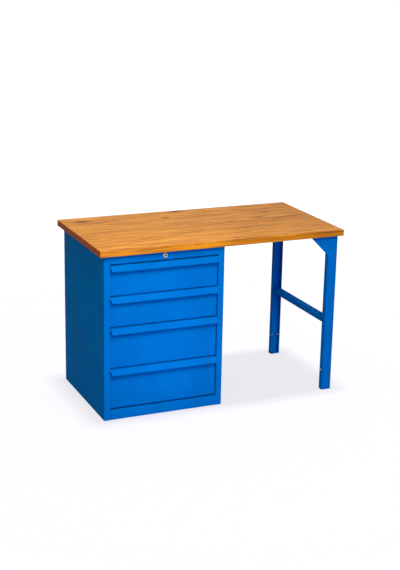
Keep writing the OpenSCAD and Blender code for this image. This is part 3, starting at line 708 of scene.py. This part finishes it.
lock = dict(collar=11.5, seat=2.5, barrel=9.0, bore=6.45, mouth=0.7, plug=6.4, dish=1.6, slotWide=2.8,
            slotTall=9.2, slotCorner=0.4, slotOut=2, slotIn=7, nutBore=9.05, sides=48)


def makeLock(k):
    # Collar and barrel are one turned ring, the plug is turned with a dished face and has a key
    # slot cut into it. Profile points are (radius, depth behind the front)
    x, z = lockCentre[0], lockCentre[2]
    low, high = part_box("lock_housing")
    length, bore, collar, barrel = (high[1] - low[1]) / mm, k["bore"], k["collar"], k["barrel"]
    ring = [(bore, length), (bore, 0.5), (bore + k["mouth"], 0.0), (collar - 1.6, 0.0), (collar - 0.5, 0.5),
            (collar, 1.4), (collar, k["seat"]), (barrel, k["seat"]), (barrel, length - 0.6),
            (barrel - 0.6, length)]
    turned = lathe(np.array(ring) * mm, (x, low[1], z), "y", k["sides"], closed=True)
    piece("lock_collar", [turned], "lock_housing")
    low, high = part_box("lock_plug")
    length, plug, dish = (high[1] - low[1]) / mm, k["plug"], k["dish"]
    face = [(0, dish), (2.2, dish - 0.1), (4.6, 0.5), (5.2, 0.1), (plug - 0.5, 0.0), (plug, 0.5),
            (plug, length), (0, length)]
    turned = lathe(np.array(face) * mm, (x, low[1], z), "y", k["sides"])
    made = piece("lock_plug_turned", [turned], "lock_plug")
    half = np.array([k["slotWide"], k["slotTall"]]) / 2 * mm
    depth = [(0, low[1] - k["slotOut"] * mm), (0, low[1] + k["slotIn"] * mm)]
    cut(made, [roundedLoop((x, z) - half, (x, z) + half, k["slotCorner"] * mm, depth, "y")])


# A hexagon's corner circle is its flats / sqrt(3), with a little over so that it never cuts in
hexagon = dict(over=1.02, chamfer=0.9, face=0.96, ease=0.5, sides=48)


def hexRing(centre, axis, flats, bore, height, step=1):
    # Hexagon ring whose corners are cut by a chamfer circle; step is the way it stands up
    x = hexagon
    tip = flats / math.sqrt(3) * x["over"]
    ring = [(bore, 0), (tip, 0), (tip, height - x["chamfer"]), (flats / 2 * x["face"], height),
            (bore + x["ease"], height), (bore, height - x["ease"])]
    profile = np.array(ring) * mm * (1, step)
    return lathe(profile, centre, axis, x["sides"], flats * mm, closed=True)


def makeLockNut(k):
    # Hexagon as wide over its flats and as thick as the CAD nut's box
    low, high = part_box("lock_nut")
    flats, thick = (high[2] - low[2]) / mm, (high[1] - low[1]) / mm
    centre = ((low[0] + high[0]) / 2, low[1], (low[2] + high[2]) / 2)
    piece("lock_nut_hexagon", [hexRing(centre, "y", flats, k["nutBore"], thick)], "lock_nut")


makeLock(lock)
makeLockNut(lock)
print("lock made")


legs = dict(sheet=2.0, bend=3.0, tubeCorner=4.0, gussetBend=2.5, gussetTip=5.0, stations=13)


def makeLegs(g):
    # Plan of a leg: flange, web, flange; the rear leg is the front one mirrored in Y
    t, bend, h = g["sheet"] * mm, g["bend"] * mm, g["sheet"] * mm / 2
    for node in ("front_leg", "rear_leg"):
        low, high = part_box(node)
        web, lip = (low[1] + h, high[1]) if node == "front_leg" else (high[1] - h, low[1])
        corners = [(low[0] + h, lip), (low[0] + h, web), (high[0] - h, web), (high[0] - h, lip)]
        piece(node + "_channel", [foldedSheet(corners, t, bend, (low[2], high[2]), "z")], node)


def makeRails(g):
    # The top rail is a channel open downwards, the cross rail a tube with rounded corners
    t, bend, h = g["sheet"] * mm, g["bend"] * mm, g["sheet"] * mm / 2
    low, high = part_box("leg_top_rail")
    corners = [(low[0] + h, low[2]), (low[0] + h, high[2] - h), (high[0] - h, high[2] - h),
               (high[0] - h, low[2])]
    piece("top_rail_channel", [foldedSheet(corners, t, bend, (low[1], high[1]), "y")], "leg_top_rail")
    low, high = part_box("cross_rail")
    tube = [(0, low[1]), (0, high[1]), (t, high[1]), (t, low[1])]
    part = roundedLoop((low[0], low[2]), (high[0], high[2]), g["tubeCorner"] * mm, tube, "y",
                       closed=True, steps=6)
    piece("cross_rail_tube", [part], "cross_rail")


def makeGussets(g):
    # Flange under the worktop, bend, then a plate whose depth at x is its distance from the tip
    t, h = g["sheet"] * mm, g["sheet"] * mm / 2
    for node in ("front_gusset", "rear_gusset"):
        low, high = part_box(node)
        front = node == "front_gusset"
        webY, farY = (low[1] + h, high[1]) if front else (high[1] - h, low[1])
        xs = np.linspace(low[0], high[0], g["stations"])
        rows = []
        for x in xs:
            deep = max(x - low[0], g["gussetTip"] * mm)
            corners = [(farY, high[2] - h), (webY, high[2] - h), (webY, high[2] - deep)]
            rows.append(sheetSection(bentPath(corners, g["gussetBend"] * mm), t))
        section = np.array(rows)
        grid = orient(section[:, :, 0], section[:, :, 1], xs[:, None], "x")
        piece(node + "_plate", [carrySheet(grid)], node)


makeLegs(legs)
makeRails(legs)
makeGussets(legs)
print("leg frame made")


bolts = dict(flats=13, head=5.3, flange=1.0, chamfer=1.2, face=0.95, shank=4.0, length=14, point=0.8,
             nutSeat=4.3, nutPlay=0.05, shankSides=24)


def boltSpots():
    # Each leg carries a bolt at its left and its right: (head's seat x, y, z, way the head points)
    out = []
    boltLow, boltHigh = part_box("foot_bolts")
    z = (boltLow[2] + boltHigh[2]) / 2
    for node in ("front_leg", "rear_leg"):
        low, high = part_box(node)
        y = (low[1] + high[1]) / 2
        out += [(low[0], y, z, -1), (high[0], y, z, 1)]
    return out


def makeFootBolts(b):
    # Hexagon head outside the leg, shank through its wall, nut inside
    heads, nuts = [], []
    half, tip = b["flats"] / 2, b["flats"] / math.sqrt(3) * hexagon["over"]
    head = [(0, 0), (half, 0), (tip, b["flange"]), (tip, b["head"] - b["chamfer"]),
            (half * b["face"], b["head"]), (0, b["head"])]
    shank = [(0, 0), (b["shank"], 0), (b["shank"], b["point"] - b["length"]),
             (b["shank"] - b["point"], -b["length"]), (0, -b["length"])]
    for x, y, z, way in boltSpots():
        outwards = np.array([mm, way * mm])
        heads += [lathe(head * outwards, (x, y, z), "x", hexagon["sides"], b["flats"] * mm),
                  lathe(shank * outwards, (x, y, z), "x", b["shankSides"])]
        seat = (x - way * b["nutSeat"] * mm, y, z)
        nuts.append(hexRing(seat, "x", b["flats"], b["shank"] + b["nutPlay"], b["head"], -way))
    piece("foot_bolt_set", heads, "foot_bolts")
    piece("foot_nut_set", nuts, "foot_nuts")


rivets = dict(head=3.2, dome=1.0, sink=0.05, shank=1.6, grip=3.0, clinch=2.7, clinchEnd=2.5, length=4.0,
              rows=5, sides=20)


def makeRivets(v):
    # Domed heads in two columns down the back: height = h * sqrt(1 - (r / R)^2)
    low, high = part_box("back_rivets")
    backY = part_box("back_panel")[1][1]
    radius, dome, sink, grip = (v[key] * mm for key in ("head", "dome", "sink", "grip"))
    shank, clinch, clinchEnd, length = (v[key] * mm for key in ("shank", "clinch", "clinchEnd", "length"))
    r = radius * np.sin(np.linspace(0, math.pi / 2, 7))
    cap = np.column_stack([r, dome * np.sqrt(1 - (r / radius) ** 2)])
    stem = [(radius, -sink), (shank, -sink), (shank, -grip), (clinch, -grip - sink), (clinchEnd, -length),
            (0, -length)]
    profile = np.vstack([cap, stem])
    zs = np.linspace(low[2] + radius, high[2] - radius, v["rows"])
    parts = [lathe(profile, (x, backY, z), "y", v["sides"])
             for x in (low[0] + radius, high[0] - radius) for z in zs]
    piece("back_rivet_set", parts, "back_rivets")


makeFootBolts(bolts)
makeRivets(rivets)
print("fasteners made")


# Edge rounding of the small parts that keep their CAD shape
softEdges = {"slide_screws": 0.1, "cabinet_screws": 0.7, "leg_screws": 0.7, "cam_screw": 0.7,
             "bar_guides": 0.5, "lock_cam": 0.35, "locking_bar": 0.35, "front_foot": 0.6, "rear_foot": 0.6}
for number in drawerNumbers:
    softEdges |= {f"drawer_{number}_screws": 0.7, f"drawer_{number}_catch": 0.35}


def softenedCopy(node, width):
    # The node's own triangles, merged into flat faces; a bevel then rounds every edge sharper
    # than 35 degrees
    mesh = frame["nodes"][node].data.copy()
    work = bmesh.new()
    work.from_mesh(mesh)
    bmesh.ops.remove_doubles(work, verts=work.verts, dist=1e-6)
    bmesh.ops.dissolve_limit(work, angle_limit=math.radians(1), verts=work.verts, edges=work.edges)
    bmesh.ops.recalc_face_normals(work, faces=work.faces)
    work.to_mesh(mesh)
    work.free()
    mesh.shade_smooth()
    mesh.set_sharp_from_angle(angle=math.radians(50))
    made = show(node + "_softened", mesh, node)
    edge = made.modifiers.new("rounded edges", "BEVEL")
    edge.width = width * mm
    edge.segments = 3
    edge.limit_method = "ANGLE"
    edge.angle_limit = math.radians(35)
    edge.use_clamp_overlap = True


for node, width in softEdges.items():
    softenedCopy(node, width)
print("small parts softened")

# The CAD nodes take the same finishes as the pieces that stand for them.
for node, shown in frame["nodes"].items():
    shown.data.materials.clear()
    shown.data.materials.append(finish[slotOf[node]])
print("finishes set on the CAD nodes")


# In metres, watts and degrees; glow, bounce and sky are linear light
stage = dict(floor="#a0a0a0", glow=(0.752, 0.736, 0.757), farGlow=(0.98, 0.98, 0.98), near=1.8, far=3.6,
             size=60.0, bounce=(0.26, 0.27, 0.24), bounceLeft=(0.12, 0.15, 0.07), turn=(-1.2, -0.5),
             sky=(0.36, 0.37, 0.47), skyLeft=(0.16, 0.20, 0.12), skyTurn=(-0.7, 0.0),
             key=dict(place=(-0.5, -2.8, 3.0), size=1.6, power=23, spread=68, aim=(-0.5, -0.3, 0.66),
                      colour="#fff5dc"),
             fill=dict(place=(-0.3, -2.0, 0.5), size=0.9, power=1.5, spread=60, aim=(-0.3, -0.3, 0.42),
                       colour="#aaccff"),
             top=dict(place=(0.0, 0.0, 12.0), size=1.3, power=640, spread=180, aim=(0.0, 0.0, 0.0),
                      colour="#ffffff"),
             legs=dict(place=(0.2, -2.6, 0.7), size=1.2, power=7, spread=180, aim=(0.58, -0.3, 0.45),
                       colour="#3050ff"),
             warm=dict(place=(-3.4, -0.6, 1.2), size=1.6, power=19, spread=180, aim=(-0.6, 0.0, 0.4),
                       colour="#ffe6b0"))


def makeFloor(s):
    # The camera sees a glowing floor that keeps soft shadows and whitens with the distance from
    # the bench; what the bench gets from it is the dimmer bounce, weakest on the left
    half = s["size"] / 2
    points = np.array([(-half, -half, 0), (half, -half, 0), (half, half, 0), (-half, half, 0)])
    mesh = bpy.data.meshes.new("floor")
    mesh.from_pydata(points.tolist(), [], [[0, 1, 2, 3]])
    floor = bpy.data.objects.new("floor", mesh)
    bpy.context.collection.objects.link(floor)
    material, tree = newMaterial("pale studio floor")
    place = add(tree, "TexCoord").outputs["Object"]
    away = add(tree, "VectorMath", {"operation": "LENGTH"}, {0: place}).outputs["Value"]
    far = add(tree, "MapRange", {"interpolation_type": "SMOOTHSTEP"},
              {"Value": away, 1: s["near"], 2: s["far"], 3: 0.0, 4: 1.0}).outputs[0]
    across = add(tree, "SeparateXYZ", None, {0: place}).outputs[0]
    seen = add(tree, "LightPath").outputs["Is Camera Ray"]
    bounce = blend(tree, between(tree, across, *s["turn"]), s["bounceLeft"], s["bounce"])
    light = blend(tree, seen, bounce, blend(tree, far, s["glow"], s["farGlow"]))
    finishMaterial(tree, {"Base Color": linear(s["floor"]), "Roughness": 0.8,
                          "Specular IOR Level": 0.0, "Emission Color": light,
                          "Emission Strength": 1.0})
    floor.data.materials.append(material)
    return floor


def makeLight(name, c):
    # A square lamp that the camera doesn't see, turned so that its -Z axis points at its aim
    lamp = bpy.data.lights.new(name, "AREA")
    lamp.size = c["size"]
    lamp.energy = c["power"]
    lamp.spread = math.radians(c["spread"])
    lamp.color = linear(c["colour"])[:3]
    made = bpy.data.objects.new(name, lamp)
    bpy.context.collection.objects.link(made)
    made.visible_camera = False
    made.location = c["place"]
    toAim = made.location.copy()
    toAim.xyz = [a - b for a, b in zip(c["aim"], c["place"])]
    made.rotation_mode = "QUATERNION"
    made.rotation_quaternion = toAim.to_track_quat("-Z", "Y")
    return made


def linkTo(lamp, things, state):
    # INCLUDE: the lamp lights these things only; EXCLUDE: it lights everything else
    group = bpy.data.collections.new(lamp.name + " links")
    for thing in things:
        group.objects.link(thing)
    for member in group.collection_objects:
        member.light_linking.link_state = state
    lamp.light_linking.receiver_collection = group


def makeSky(s):
    # White seen behind the bench; a dimmer light falls on it, greener from the left
    world = bpy.data.worlds.new("studio")
    bpy.context.scene.world = world
    world.use_nodes = True
    tree = world.node_tree
    tree.nodes.clear()
    seen = add(tree, "LightPath").outputs["Is Camera Ray"]
    direction = add(tree, "TexCoord").outputs["Generated"]
    across = add(tree, "SeparateXYZ", None, {0: direction}).outputs[0]
    around = blend(tree, between(tree, across, *s["skyTurn"]), s["skyLeft"], s["sky"])
    sky = add(tree, "Background", None, {"Color": blend(tree, seen, around, "#ffffff")})
    add(tree, "OutputWorld", None, {"Surface": sky.outputs[0]})


floor = makeFloor(stage)
makeLight("top softbox", stage["top"])
for name in ("key", "fill", "warm"):
    linkTo(makeLight(name + " softbox", stage[name]), [floor], "EXCLUDE")
# The leg frame gets a blue lamp of its own, which lights nothing else.
legNames = ("front_leg", "rear_leg", "cross_rail", "front_gusset")
legPieces = [o for o in bpy.data.objects if o.name.startswith(legNames) and o.name not in frame["nodes"]]
linkTo(makeLight("legs softbox", stage["legs"]), legPieces, "INCLUDE")
makeSky(stage)
bpy.context.scene.view_settings.view_transform = "Standard"
print("stage set")
